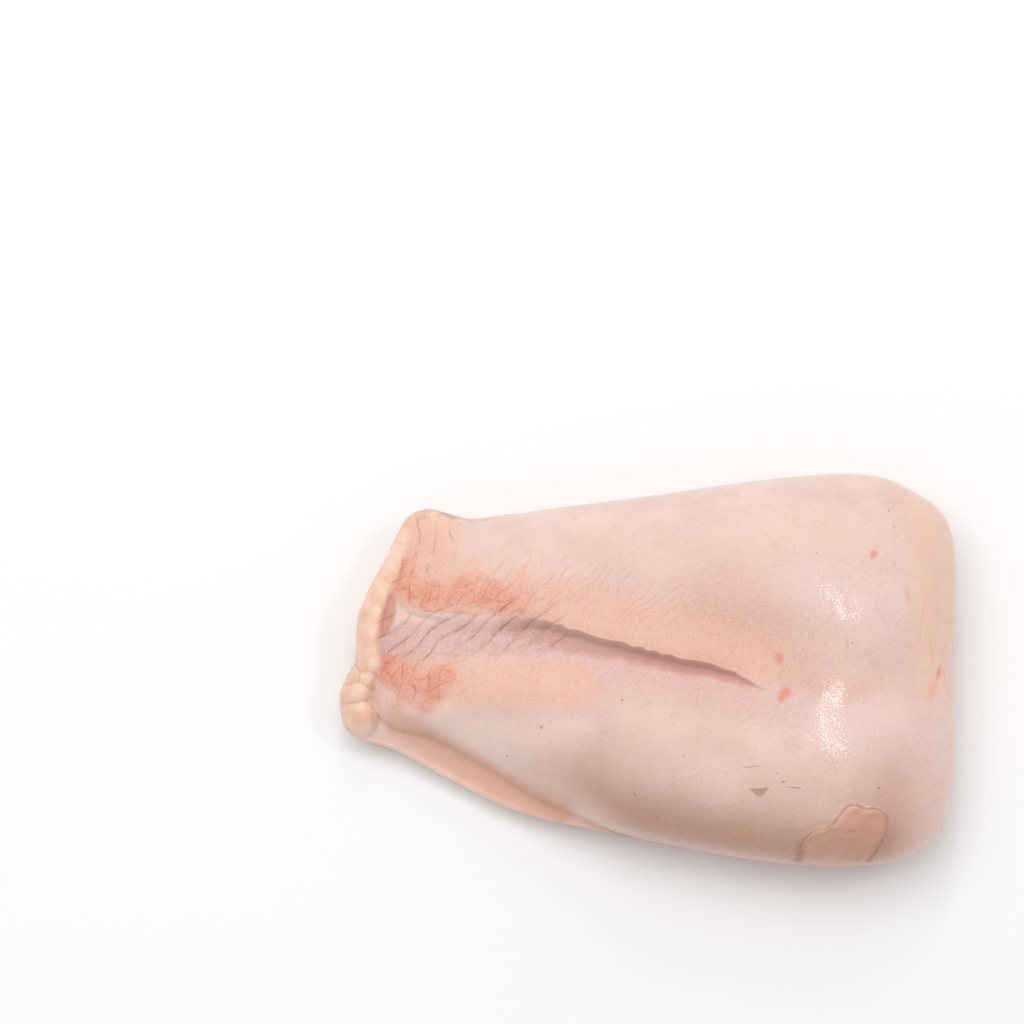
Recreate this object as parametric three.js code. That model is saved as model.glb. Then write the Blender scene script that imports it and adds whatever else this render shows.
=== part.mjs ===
// A whole raw chicken breast with its skin on: two plump lobes either side of a slanting groove, broad and blunt at
// one end, narrow at the other, where the skin's edge is rolled over pale fat. It lies on its flat cut side.
// Millimetres. +X runs to the broad end, +Y to the upper lobe, +Z up. The origin is the middle of the flat underside.
import * as THREE from "three";

// Plan outline where the breast is widest, anticlockwise from the broad end.
const OUTLINE = [
  [105, 30], [103.5, 2], [103, -28], [99, -53], [86, -64], [66, -67], [38, -65], [10, -60], [-18, -54],
  [-45, -47], [-68, -36], [-86, -26.5], [-102, -20.5], [-105, -8], [-100, 3], [-98.5, 20], [-90, 38], [-83, 52],
  [-76, 56], [-68, 54.3], [-60, 52.6], [-50, 53.8], [-38, 55], [0, 59.5], [45, 65.5], [76, 66.5], [94, 59], [103, 49],
];
const HALF_LENGTH = 105;
const HALF_WIDTH = 67;

// Sizes round the edge, as pairs of direction in degrees and millimetres: the height of the rim, where the skin
// turns under, the thin shelf of skin outside the meat, how far that shelf rises inwards, and the tuck underneath.
const RIM_HEIGHT = [
  [-176, 16], [-168, 11], [-160, 8], [-148, 7], [-132, 9], [-108, 15], [-70, 21], [-20, 23],
  [30, 23], [90, 20], [130, 18], [145, 16], [160, 19], [176, 19],
];
const SKIN_SHELF = [
  [-176, 11], [-168, 14], [-155, 12], [-140, 8.5], [-126, 5], [-112, 2], [-98, 0],
  [130, 0], [144, 3], [158, 6.5], [174, 8.5],
];
const SHELF_RISE = [[-176, 2], [-166, 1], [-145, 1.5], [-126, 1], [-98, 0], [130, 0], [150, 1], [176, 1]];
const TUCK_UNDER = [[-160, 18], [-120, 14], [-60, 12], [0, 12], [60, 12], [120, 14], [160, 14]];

// Height of the skin along the breast, and the dome that it makes across it.
const NARROW_END_HEIGHT = 34;
const BROAD_END_HEIGHT = 59;
const CLIMB_START = -112;
const CLIMB_END = 5;
const BROAD_END_DROP = 3;
const BROAD_END_DROP_START = 50;
const DOME_POWER = 2.8;
const DOME_RISE = 36;
const DOME_SPAN = 80;
const DOME_STEEPNESS = 0.5;
const DOME_STEEPNESS_AT_SHELF = 0.7;
const SHELF_EDGE_POWER = 14;
const WIDE_SHELF = 4;

// How far out, as a share, the outline's small corners start to show in the dome, and where they are all there.
const CORNERS_START = 0.55;
const CORNERS_FULL = 0.97;

// The groove between the lobes: the upper lobe's lip in plan, the cleft below it and the wide furrow both lie in.
const LIP = [
  [-105, 26], [-88, 25.5], [-84, 21.8], [-79.5, 19.2], [-75, 18.2], [-66, 17.6], [-56, 16], [-48, 15.4], [-40, 15],
  [-33, 13.2], [-25, 9.9], [-17, 7.4], [-3.5, 3.5], [13, -0.8], [22, -2.5], [28, -4.9], [33, -8.2], [38, -10.6],
  [50, -12], [105, -13],
];
const LIP_SCALLOP = 0.3;
const LIP_SCALLOP_LENGTH = 7.5;
const LIP_SCALLOP_SPAN = [[-50, 0], [-30, 1], [24, 1], [36, 0]];
const LIP_ROUNDING = 0.16;
const LIP_ROUNDING_WIDTH = 2;
const CLEFT_DEPTH = [
  [-92, 0], [-86, 1.4], [-71, 1.7], [-63, 0.6], [-53, 0.9], [-44, 2.6], [-30, 3.7], [5, 4], [20, 3.6], [29, 2.4],
  [36, 0],
];
const CLEFT_WIDTH = [[-70, 13], [-45, 12], [-28, 9], [-15, 7], [5, 5.5], [20, 4.5], [32, 3]];
const WALL_WIDTH = [[-84, 1.8], [-73, 2.2], [-65, 7], [-53, 7], [-44, 4.6], [-34, 3], [-22, 2.2], [0, 1.6]];
const VALLEY_DEPTH = [[-100, 0], [-60, 2.2], [-20, 2.4], [20, 1.8], [36, 0]];
const VALLEY_WIDTH = 12;
const OVERHANG = [[-60, 0], [-44, 0.2], [-30, 0.65], [5, 0.7], [20, 0.63], [29, 0.42], [36, 0]];
const OVERHANG_WIDTH = 2.2;
const OVERHANG_MIDDLE = 1.5;
const FURROW_LINE = [[-105, 16], [-60, 12], [-20, 5], [15, -4], [40, -9], [105, -13]];
const FURROW_DEPTH = [[-105, 0], [-70, 4.5], [45, 4.5], [105, 2.5]];
const FURROW_WIDTH = 21;

// The rolled edge of skin at the narrow end, as x, y and radius, its height along it, and the fat lumps beside it.
const ROLL = [
  [-80, 53, 2.8], [-86.6, 39.5, 4.6], [-91.4, 28, 4.9], [-94, 18.4, 4.7], [-95, 9.7, 4.6], [-94.4, 2.5, 4.2],
];
const ROLL_LEVEL = [[0, 16], [0.25, 20], [0.5, 22], [1, 22.5]];
const ROLL_SOFTNESS = 2.6;
const LUMPS = [
  { x: -100.2, y: -1.6, halfX: 4.6, halfY: 4.2, turn: 20, level: 16.5, rise: 6.2 },
  { x: -95.4, y: -2, halfX: 4, halfY: 5, turn: -15, level: 17.5, rise: 6.6 },
  { x: -98.8, y: -7.6, halfX: 5.8, halfY: 4.6, turn: 10, level: 16.5, rise: 7.4 },
  { x: -98, y: -14.6, halfX: 5.6, halfY: 6.8, turn: 12, level: 15.5, rise: 7 },
  { x: -73, y: 53.4, halfX: 5.6, halfY: 2.2, turn: -8, level: 17.5, rise: 5 },
];
const LUMP_SOFTNESS = 1.2;
const LUMP_ROUNDNESS = 1.3;

// Low relief: slanting folds where the skin is stretched, cushions where it is crackled above and below them, and a
// flap of skin low on the front, folded once over itself.
const FOLD_ZONE = [[-84, 10], [-66, 11], [-50, 12.5], [-36, 10]];
const FOLD_ZONE_HALF_WIDTH = 8;
const FOLD_SPACING = 5;
const FOLD_DIRECTION = 39;
const FOLD_DEPTH = 0.7;
const CUSHION_ZONES = [
  [[-84, 34], [-81, 26], [-71, 23.5], [-58, 22.5], [-48, 20]],
  [[-86, -1], [-80, -5.5], [-73, -6]],
];
const CUSHION_ZONE_HALF_WIDTH = 5.5;
const CUSHION_LENGTH = 4.6;
const CUSHION_LENGTH_DIRECTION = 84;
const CUSHION_WIDTH = 6.6;
const CUSHION_WIDTH_DIRECTION = 6;
const CUSHION_HEIGHT = 0.8;
const ZONE_SOFTNESS = 3;
const FLAP_MIDDLE = [64.5, -57.5];
const FLAP = [
  [78.1, -53.7], [76.6, -50.8], [73.2, -49.3], [70.1, -49.7], [67, -48.3], [63.7, -49.4], [61.1, -52.5],
  [58.9, -55.2], [54.3, -56.3], [51.1, -58.5], [49.5, -61.6], [51, -71], [68, -72.5], [73.5, -64.4],
  [75.6, -61.2], [77.3, -57.5],
];
const FLAP_THICKNESS = 0.9;
const FLAP_EDGE_WIDTH = 1;
const FLAP_FOLD = [[49.6, -61], [53.7, -57.8], [59.1, -55.6], [63.4, -56.4], [66.9, -55.9], [68.2, -57.8]];
const FLAP_FOLD_RISE = 0.8;
const FLAP_FOLD_SOFTNESS = [[64, 0.5], [73, 5]];
const RELIEF_END = 0.97;

// How finely the skin is divided.
const COLUMNS = 84;
const ROWS = 50;
const WRAP_RINGS = 4;
const PATH_STEPS = 10;
const BENT_ROWS_HALF_WIDTH = 48;

const { lerp, clamp, degToRad, radToDeg } = THREE.MathUtils;
const bell = (distance, width) => Math.exp(-((distance / width) ** 2));
const mean = (values) => values.reduce((sum, value) => sum + value, 0) / values.length;
const smoothMax = (a, b, softness) => (a + b + Math.hypot(a - b, softness)) / 2;

function smoothstep(low, high, value) {
  const t = clamp((value - low) / (high - low), 0, 1);
  return t * t * (3 - 2 * t);
}

// Reads a table of [place, value] pairs, level beyond its ends.
function read(table, place) {
  const after = table.findIndex(([start]) => start > place);
  if (after === 0) return table[0][1];
  if (after < 0) return table.at(-1)[1];
  const [start, from] = table[after - 1];
  const [end, to] = table[after];
  return lerp(from, to, (place - start) / (end - start));
}

// A value that changes along the breast, with the table's corners softened.
function along(x, table, softness = 1.5) {
  return mean([-2, -1, 0, 1, 2].map((step) => read(table, x + step * softness)));
}

// Reads a table whose places are degrees and that goes on round the circle.
function readRound(table, degrees) {
  const [firstPlace, firstValue] = table[0];
  const [lastPlace, lastValue] = table.at(-1);
  const turned = degrees - 360 * Math.floor((degrees + 180) / 360);
  return read([[lastPlace - 360, lastValue], ...table, [firstPlace + 360, firstValue]], turned);
}

function around(degrees, table) {
  return mean([-8, -4, 0, 4, 8].map((step) => readRound(table, degrees + step)));
}

function curveThrough(points, closed) {
  const corners = points.map(([x, y, z = 0]) => new THREE.Vector3(x, y, z));
  return new THREE.CatmullRomCurve3(corners, closed, "catmullrom", 0.5);
}

// A closed curve through the points, as its reach from a middle against direction in degrees.
function reachFrom([middleX, middleY], points) {
  return curveThrough(points, true)
    .getPoints(points.length * 20)
    .slice(1)
    .map((p) => [radToDeg(Math.atan2(p.y - middleY, p.x - middleX)), Math.hypot(p.x - middleX, p.y - middleY)])
    .sort(([a], [b]) => a - b);
}

// The outline's reach, and the same without its small corners, which would run up the lobes.
const reachTable = reachFrom([0, 0], OUTLINE);
const broadReachTable = Array.from({ length: 181 }, (_, i) => {
  const degrees = -180 + 2 * i;
  const steps = [-24, -20, -16, -12, -8, -4, 0, 4, 8, 12, 16, 20, 24];
  const weights = steps.map((step) => bell(step, 16));
  const reaches = steps.map((step, j) => weights[j] * readRound(reachTable, degrees + step));
  return [degrees, mean(reaches) / mean(weights)];
});

// Distance from a path and share of the way along it.
function nearPath(x, y, path) {
  let best = { distance: Infinity, share: 0, radius: 0 };
  for (let i = 0; i < path.length - 1; i++) {
    const [a, b] = [path[i], path[i + 1]];
    const length = (b.x - a.x) ** 2 + (b.y - a.y) ** 2;
    const t = clamp(((x - a.x) * (b.x - a.x) + (y - a.y) * (b.y - a.y)) / length, 0, 1);
    const distance = Math.hypot(x - lerp(a.x, b.x, t), y - lerp(a.y, b.y, t));
    if (distance < best.distance) {
      best = { distance, share: (i + t) / (path.length - 1), radius: lerp(a.z, b.z, t) };
    }
  }
  return best;
}

// The lip's place across the breast, slightly and unevenly scalloped where the groove is deep.
function lipAt(x) {
  const uneven = x + 3.5 * Math.sin(x / 5.3);
  const scallop = LIP_SCALLOP * Math.sin((2 * Math.PI * uneven) / LIP_SCALLOP_LENGTH);
  return along(x, LIP) + scallop * along(x, LIP_SCALLOP_SPAN);
}

// Height of the upper skin before it rounds down to its edge.
function ceilingAt(x, y) {
  const across = y - lipAt(x);
  const wall = along(x, WALL_WIDTH);
  const belowLip = 1 - smoothstep(-wall, 0, across);
  const pastWall = Math.max(-wall - across, 0);
  const cleft = along(x, CLEFT_DEPTH) * belowLip * (1 - smoothstep(0, 1, pastWall / along(x, CLEFT_WIDTH)));
  const valley = along(x, VALLEY_DEPTH, 4) * belowLip * bell(pastWall, VALLEY_WIDTH);
  const lipRound = LIP_ROUNDING * along(x, CLEFT_DEPTH) * bell(Math.max(across, 0), LIP_ROUNDING_WIDTH);
  const furrow = along(x, FURROW_DEPTH, 10) * bell(y - along(x, FURROW_LINE, 8), FURROW_WIDTH);
  const climb = lerp(NARROW_END_HEIGHT, BROAD_END_HEIGHT, smoothstep(CLIMB_START, CLIMB_END, x));
  const drop = BROAD_END_DROP * smoothstep(BROAD_END_DROP_START, HALF_LENGTH, x);
  return climb - drop - furrow - cleft - valley - lipRound;
}

// How far out a place is, from 0 in the middle to 1 at the outline less an inset.
function shareOf(radius, degrees, inset) {
  const near = radius / (readRound(reachTable, degrees) - inset);
  const farIn = radius / (readRound(broadReachTable, degrees) - inset);
  return clamp(lerp(farIn, near, smoothstep(CORNERS_START, CORNERS_FULL, near)), 0, 1);
}

const rollPath = curveThrough(ROLL, false).getPoints((ROLL.length - 1) * PATH_STEPS);

function rollAt(x, y) {
  const { distance, share, radius } = nearPath(x, y, rollPath);
  return read(ROLL_LEVEL, share) + radius - distance ** 2 / radius;
}

function lumpAt(x, y, { x: cx, y: cy, halfX, halfY, turn, level, rise }) {
  const cos = Math.cos(degToRad(turn));
  const sin = Math.sin(degToRad(turn));
  const u = ((x - cx) * cos + (y - cy) * sin) / halfX;
  const v = ((y - cy) * cos - (x - cx) * sin) / halfY;
  return level + rise * (1 - (u ** 2 + v ** 2) ** LUMP_ROUNDNESS);
}

// 1 within a half width of a path, fading out beyond it.
function zoneAt(x, y, path, halfWidth) {
  return 1 - smoothstep(halfWidth - ZONE_SOFTNESS, halfWidth + ZONE_SOFTNESS, nearPath(x, y, path).distance);
}

// 0 in each of a set of parallel folds, rising to 1 between them.
function ridgeAt(x, y, spacing, degrees) {
  const direction = degToRad(degrees);
  const across = x * Math.sin(direction) - y * Math.cos(direction);
  return Math.sqrt(Math.abs(Math.sin((Math.PI * across) / spacing)));
}

const foldPath = curveThrough(FOLD_ZONE, false).getPoints((FOLD_ZONE.length - 1) * PATH_STEPS);

function foldsAt(x, y) {
  const ridge = ridgeAt(x, y, FOLD_SPACING, FOLD_DIRECTION);
  return FOLD_DEPTH * (ridge - 0.5) * zoneAt(x, y, foldPath, FOLD_ZONE_HALF_WIDTH);
}

const cushionPaths = CUSHION_ZONES.map((zone) => curveThrough(zone, false).getPoints((zone.length - 1) * PATH_STEPS));

function cushionsAt(x, y) {
  const zone = Math.max(...cushionPaths.map((path) => zoneAt(x, y, path, CUSHION_ZONE_HALF_WIDTH)));
  const lengthwise = ridgeAt(x, y, CUSHION_LENGTH, CUSHION_LENGTH_DIRECTION);
  const crosswise = ridgeAt(x, y, CUSHION_WIDTH, CUSHION_WIDTH_DIRECTION);
  return CUSHION_HEIGHT * zone * lengthwise * crosswise;
}

const flapTable = reachFrom(FLAP_MIDDLE, FLAP);

function flapAt(x, y) {
  const [awayX, awayY] = [x - FLAP_MIDDLE[0], y - FLAP_MIDDLE[1]];
  const inside = readRound(flapTable, radToDeg(Math.atan2(awayY, awayX))) - Math.hypot(awayX, awayY);
  const softness = read(FLAP_FOLD_SOFTNESS, x);
  const overFold = smoothstep(-softness, softness, y - read(FLAP_FOLD, x));
  return (FLAP_THICKNESS + FLAP_FOLD_RISE * overFold) * smoothstep(0, FLAP_EDGE_WIDTH, inside);
}

// Height of the upper skin, its rounded edge, rolled end and relief included.
function topAt(x, y) {
  const degrees = radToDeg(Math.atan2(y, x));
  const radius = Math.hypot(x, y);
  const share = clamp(radius / readRound(reachTable, degrees), 0, 1);
  const shelf = around(degrees, SKIN_SHELF);
  const rim = around(degrees, RIM_HEIGHT);
  const level = rim + around(degrees, SHELF_RISE);
  const meatShare = shareOf(radius, degrees, shelf);
  const steepness = lerp(DOME_STEEPNESS, DOME_STEEPNESS_AT_SHELF, smoothstep(0, WIDE_SHELF, shelf));
  const meat = level + (ceilingAt(x, y) - level) * (1 - meatShare ** DOME_POWER) ** steepness;
  const lumps = LUMPS.map((lump) => lumpAt(x, y, lump));
  const rolled = smoothMax(meat, rollAt(x, y), ROLL_SOFTNESS);
  const height = lumps.reduce((sum, lump) => smoothMax(sum, lump, LUMP_SOFTNESS), rolled);
  const shelfEdge = Math.sqrt(Math.max(1 - share ** SHELF_EDGE_POWER, 0));
  const edge = lerp(1, shelfEdge, smoothstep(0, WIDE_SHELF, shelf));
  const relief = foldsAt(x, y) + cushionsAt(x, y) + flapAt(x, y);
  return rim + (height - rim) * edge + relief * (1 - smoothstep(RELIEF_END, 1, share));
}

// Positions from -1 to 1, closer together where the weight is higher.
function spread(count, weight) {
  const fineSteps = 400;
  const table = [];
  let total = 0;
  for (let i = 0; i <= fineSteps; i++) {
    const place = -1 + (2 * i) / fineSteps;
    total += weight(place);
    table.push([total, place]);
  }
  return Array.from({ length: count + 1 }, (_, i) => read(table, lerp(table[0][0], total, i / count)));
}

// How far out each step goes, so that the steps are even along the skin from the middle down to the rim.
function makeStepTable() {
  const steps = 100;
  const table = [[0, 0]];
  let length = 0;
  let last = new THREE.Vector2(0, DOME_RISE);
  for (let i = 1; i <= steps; i++) {
    const share = Math.sin(((i / steps) * Math.PI) / 2);
    const next = new THREE.Vector2(DOME_SPAN * share, DOME_RISE * Math.sqrt(1 - share ** DOME_POWER));
    length += next.distanceTo(last);
    last = next;
    table.push([length, share]);
  }
  return table.map(([distance, share]) => [distance / length, share]);
}

const stepTable = makeStepTable();

// The point of the upper skin for a place in a square from -1 to 1, whose middle line follows the lip.
function upperPoint(s, t) {
  const u = s * Math.sqrt(1 - t ** 2 / 2);
  const v = t * Math.sqrt(1 - s ** 2 / 2);
  const out = read(stepTable, Math.hypot(u, v));
  const angle = Math.atan2(v * HALF_WIDTH, u * HALF_LENGTH);
  const reach = readRound(reachTable, radToDeg(angle)) * out;
  const x = reach * Math.cos(angle);
  const straightY = reach * Math.sin(angle);
  const nearMiddle = clamp(1 - (straightY / BENT_ROWS_HALF_WIDTH) ** 2, 0, 1) ** 2 * (1 - out ** 8);
  const y = straightY + lipAt(x) * nearMiddle;
  const lean = along(x, OVERHANG) * bell(y - lipAt(x) - OVERHANG_MIDDLE, OVERHANG_WIDTH);
  return [x, y - lean, topAt(x, y)];
}

// The skin from its rim down and under to the flat base, as a ring of points for each step.
function wrapRing(rim, step) {
  const turn = ((step / WRAP_RINGS) * Math.PI) / 2;
  return rim.map(([x, y, z]) => {
    const angle = Math.atan2(y, x);
    const tuck = around(radToDeg(angle), TUCK_UNDER) * (1 - Math.cos(turn));
    const radius = Math.hypot(x, y) - tuck;
    return [radius * Math.cos(angle), radius * Math.sin(angle), step === WRAP_RINGS ? 0 : z * (1 - Math.sin(turn))];
  });
}

// Point numbers round the edge of the grid, anticlockwise.
function gridEdge() {
  const at = (column, row) => row * (COLUMNS + 1) + column;
  const edge = [];
  for (let column = 0; column < COLUMNS; column++) edge.push(at(column, 0));
  for (let row = 0; row < ROWS; row++) edge.push(at(COLUMNS, row));
  for (let column = COLUMNS; column > 0; column--) edge.push(at(column, ROWS));
  for (let row = ROWS; row > 0; row--) edge.push(at(0, row));
  return edge;
}

// Two triangles for each square of the grid, split along the diagonal that points to the middle.
function gridFaces() {
  const faces = [];
  for (let row = 0; row < ROWS; row++) {
    for (let column = 0; column < COLUMNS; column++) {
      const a = row * (COLUMNS + 1) + column;
      const [b, c, d] = [a + 1, a + COLUMNS + 2, a + COLUMNS + 1];
      const risesInwards = row < ROWS / 2 === column < COLUMNS / 2;
      faces.push(...(risesInwards ? [a, b, c, a, c, d] : [a, b, d, b, c, d]));
    }
  }
  return faces;
}

// The columns are closer together at the narrow end, and the rows at the lip, where one row lies along it.
function breastGeometry() {
  const columns = spread(COLUMNS, (place) => 1 + 1.1 * smoothstep(0.1, -0.35, place));
  const rows = spread(ROWS, (place) => 1 + 2.5 * bell(place, 0.05) + 0.5 * bell(place, 0.5));
  rows[rows.findIndex((place) => Math.abs(place) === Math.min(...rows.map(Math.abs)))] = 0;
  const points = rows.flatMap((t) => columns.map((s) => upperPoint(s, t)));
  const faces = gridFaces();

  let ring = gridEdge();
  const rim = ring.map((i) => points[i]);
  for (let step = 1; step <= WRAP_RINGS; step++) {
    const next = ring.map((_, i) => points.length + i);
    points.push(...wrapRing(rim, step));
    for (let i = 0; i < ring.length; i++) {
      const j = (i + 1) % ring.length;
      faces.push(next[i], next[j], ring[j], next[i], ring[j], ring[i]);
    }
    ring = next;
  }

  const base = ring.map((i) => new THREE.Vector2(points[i][0], points[i][1]));
  for (const [a, b, c] of THREE.ShapeUtils.triangulateShape(base, [])) {
    faces.push(ring[c], ring[b], ring[a]);
  }

  const geometry = new THREE.BufferGeometry();
  geometry.setAttribute("position", new THREE.Float32BufferAttribute(points.flat(), 3));
  geometry.setIndex(faces);
  geometry.computeVertexNormals();
  return geometry;
}

const breast = new THREE.Group();
const skin = new THREE.MeshStandardMaterial({ color: 0xe9c3b4, roughness: 0.4, metalness: 0 });
const mesh = new THREE.Mesh(breastGeometry(), skin);
mesh.name = "chicken_breast";
breast.add(mesh);

export default breast;
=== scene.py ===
"""A whole raw chicken breast with its skin on, lying on its flat cut side, seen from almost straight above.

Sizes are millimetres unless a name says otherwise. +X runs to the broad end, +Y to the upper lobe, +Z up.
"""
import math
import bpy
import numpy as np
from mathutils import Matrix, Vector
from mathutils.geometry import delaunay_2d_cdt


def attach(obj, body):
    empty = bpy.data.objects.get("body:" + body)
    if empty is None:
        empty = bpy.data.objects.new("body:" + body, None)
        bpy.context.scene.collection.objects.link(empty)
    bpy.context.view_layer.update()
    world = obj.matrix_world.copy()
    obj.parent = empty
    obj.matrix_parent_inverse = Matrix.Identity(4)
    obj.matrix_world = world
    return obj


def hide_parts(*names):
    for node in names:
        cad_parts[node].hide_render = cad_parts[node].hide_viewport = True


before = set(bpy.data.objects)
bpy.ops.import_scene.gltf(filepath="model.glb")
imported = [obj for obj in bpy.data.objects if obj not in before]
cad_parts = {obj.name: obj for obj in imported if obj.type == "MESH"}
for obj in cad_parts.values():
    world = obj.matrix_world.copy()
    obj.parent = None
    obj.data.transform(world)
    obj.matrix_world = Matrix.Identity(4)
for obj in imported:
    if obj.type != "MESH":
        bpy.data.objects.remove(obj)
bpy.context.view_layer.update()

MM = 0.001

# Plan outline where the breast is widest, anticlockwise from the broad end.
OUTLINE = [
    (105, 30), (103.5, 2), (103, -28), (99, -53), (86, -64), (66, -67), (38, -65), (10, -60),
    (-18, -54), (-45, -47), (-68, -36), (-86, -26.5), (-102, -20.5), (-105, -8), (-100, 3), (-98.5, 20),
    (-90, 38), (-83, 52), (-76, 56), (-68, 54.3), (-60, 52.6), (-50, 53.8), (-38, 55), (0, 59.5),
    (45, 65.5), (76, 66.5), (94, 59), (103, 49),
]
OUTLINE_HALF_LENGTH = 105
OUTLINE_HALF_WIDTH = 67

# Sizes round the edge, as pairs of degrees and millimetres: the height of the rim, where the skin turns
# under, the thin shelf of skin outside the meat, how far that shelf rises inwards, and the tuck underneath.
RIM_HEIGHT = [
    (-176, 16), (-168, 11), (-160, 8), (-148, 7), (-132, 9), (-108, 15), (-70, 21), (-20, 23),
    (30, 23), (90, 20), (130, 18), (145, 16), (160, 19), (176, 19),
]
SKIN_SHELF = [
    (-176, 11), (-168, 14), (-155, 12), (-140, 8.5), (-126, 5), (-112, 2), (-98, 0),
    (130, 0), (144, 3), (158, 6.5), (174, 8.5),
]
SHELF_RISE = [(-176, 2), (-166, 1), (-145, 1.5), (-126, 1), (-98, 0), (130, 0), (150, 1), (176, 1)]
TUCK_UNDER = [(-160, 18), (-120, 14), (-60, 12), (0, 12), (60, 12), (120, 14), (160, 14)]
WIDE_SHELF = 4

# Height of the skin along the breast, the dome that it makes, and the thickened edge of the shelf.
NARROW_END_HEIGHT = 34
BROAD_END_HEIGHT = 59
CLIMB = (-112, 5)
BROAD_END_DROP = 3
BROAD_END_DROP_START = 50
SWELL = 0.7
DOME_POWER = 2.8
DOME_RISE = 36
DOME_SPAN = 80
DOME_STEEPNESS = 0.5
DOME_STEEPNESS_AT_SHELF = 0.7
SHELF_EDGE_POWER = 14
HEM_BEAD = 0.35

# How far out, as a share, the outline's small corners start to show in the dome, and show in full.
CORNERS = (0.55, 0.97)

# The groove between the lobes: the upper lobe's lip in plan, and the line that the shallow furrow follows.
LIP = [
    (-105, 26), (-88, 25.5), (-84, 21.8), (-79.5, 19.2), (-75, 18.2), (-66, 17.6), (-56, 16), (-48, 15.4),
    (-40, 15), (-33, 13.2), (-25, 9.9), (-17, 7.4), (-3.5, 3.5), (13, -0.8), (22, -2.5), (28, -4.9),
    (33, -8.2), (38, -10.6), (50, -12), (105, -13),
]
LIP_SCALLOP = 0.3
LIP_SCALLOP_LENGTH = 7.5
LIP_ROUNDING = 0.16
LIP_ROUNDING_WIDTH = 2.0
FURROW_LINE = [(-105, 16), (-60, 12), (-20, 5), (15, -4), (40, -9), (105, -13)]
FURROW_DEPTH = [(-105, 0), (-70, 4.5), (45, 4.5), (105, 2.5)]
FURROW_WIDTH = 21
CLEFT_DEPTH = [
    (-92, 0), (-86, 1.4), (-71, 1.7), (-63, 0.6), (-53, 0.9), (-44, 2.6), (-30, 3.7), (5, 4), (20, 3.6),
    (29, 2.4), (36, 0),
]
CLEFT_DEEPEST = 4
CLEFT_WIDTH = [(-70, 13), (-45, 12), (-28, 9), (-15, 7), (5, 5.5), (20, 4.5), (32, 3)]
WALL_WIDTH = [(-84, 1.8), (-73, 2.2), (-65, 7), (-53, 7), (-44, 4.6), (-34, 3), (-22, 2.2), (0, 1.6)]
VALLEY_DEPTH = [(-100, 0), (-60, 2.2), (-20, 2.4), (20, 1.8), (36, 0)]
VALLEY_WIDTH = 12
OVERHANG = 0.7
OVERHANG_MIDDLE = 1.5
OVERHANG_WIDTH = 2.2
# How far below the lip the painted shade in the groove reaches, along the breast.
GROOVE_SHADE = [
    (-54, 4), (-44, 8), (-36, 9.3), (-28, 8.8), (-17, 6.4), (-3.5, 4.5), (10, 3.6), (24, 3.1), (34, 2),
]

# The skin's edge at the narrow end, rolled over fat, as x, y and radius, and the fat lumps beside it.
ROLL = [
    (-80, 53, 2.8), (-86.6, 39.5, 4.6), (-91.4, 28, 4.9), (-94, 18.4, 4.7), (-95, 9.7, 4.6),
    (-94.4, 2.5, 4.2),
]
ROLL_LEVEL = [(0, 16), (0.25, 20), (0.5, 22), (1, 22.5)]
ROLL_SOFTNESS = 2.6
LUMP_SOFTNESS = 1.2
LUMP_ROUNDNESS = 1.3
LUMPS = [  # x, y, half length, half width, turn in degrees, level, rise
    (-100.2, -1.6, 4.6, 4.2, 20, 16.5, 6.2),
    (-95.4, -2.0, 4.0, 5.0, -15, 17.5, 6.6),
    (-98.8, -7.6, 5.8, 4.6, 10, 16.5, 7.4),
    (-98.0, -14.6, 5.6, 6.8, 12, 15.5, 7.0),
    (-73.0, 53.4, 5.6, 2.2, -8, 17.5, 5.0),
]

# Patches of the skin that differ, and patches where shade, sheen and light are painted into the colour, as
# paths through their middles, in plan.
UPPER_TRACT = [(-84, 34), (-81, 26), (-71, 23.5), (-58, 22.5), (-45, 19.5), (-36, 17.5)]
LOWER_TRACT = [(-86, -1), (-80, -5.5), (-73, -6)]
UPPER_BLUSH = [(-80, 42), (-62, 28), (-40, 21), (-15, 13), (12, 6), (34, 0)]
LOWER_BLUSH = [(-72, -6), (-50, -7), (-26, -10)]
STRETCHED = [(-86, 8.5), (-70, 8), (-52, 8.5), (-38, 8)]
STRETCHED_ZONE = [(-84, 10), (-66, 11), (-50, 12.5), (-36, 10)]
LOBE_FOLD_ZONE = [(-60, 26), (-40, 26), (-18, 24), (0, 18)]
UPRIGHT_ZONE = [(-73, 50), (-76, 38), (-74, 27)]
WET_BANK = [(-58, 3), (-42, 4.5), (-28, 2.4), (-19.5, 0.8), (-6.7, -0.9), (6, -3.8), (17, -6.2)]
CREAM_ZONE = [(-70, 50), (-75, 46), (-79, 40), (-83, 32)]
# The hollow behind the rolled edge, darkened with painted shade.
POCKET_SHADE = [(-87.4, 24.6), (-88.9, 19), (-90.4, 13.7)]
PALE_LOWER = [(-35, 2), (-10, -6), (20, -12), (45, -18)]
# A whiter patch on the left of the lower lobe: painted sheen.
SHEEN_PATCH = [(-69, -16), (-57, -22), (-43, -25), (-26, -23)]
# Painted shade along the shallow furrow past the end of the groove.
FURROW_SHADE_BAND = [(45, -6), (53, -9.5), (62, -10.5), (71, -9.5)]
# Lilac on both lobes where the highlights fall: partly the skin's own tone, partly painted sheen.
LILAC_SHEEN_UPPER = [(50, 25), (65, 19), (80, 17)]
LILAC_SHEEN_LOWER = [(46, -19), (62, -22), (82, -25), (96, -27)]
SHELF_SHADE = [(-85, -18), (-74, -24.5), (-63.3, -31.4), (-52.2, -38.4), (-41, -43.4), (-30, -47.5)]
WET_SPOT = (8, 30)
WET_SPOT_RADIUS = 9

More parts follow.
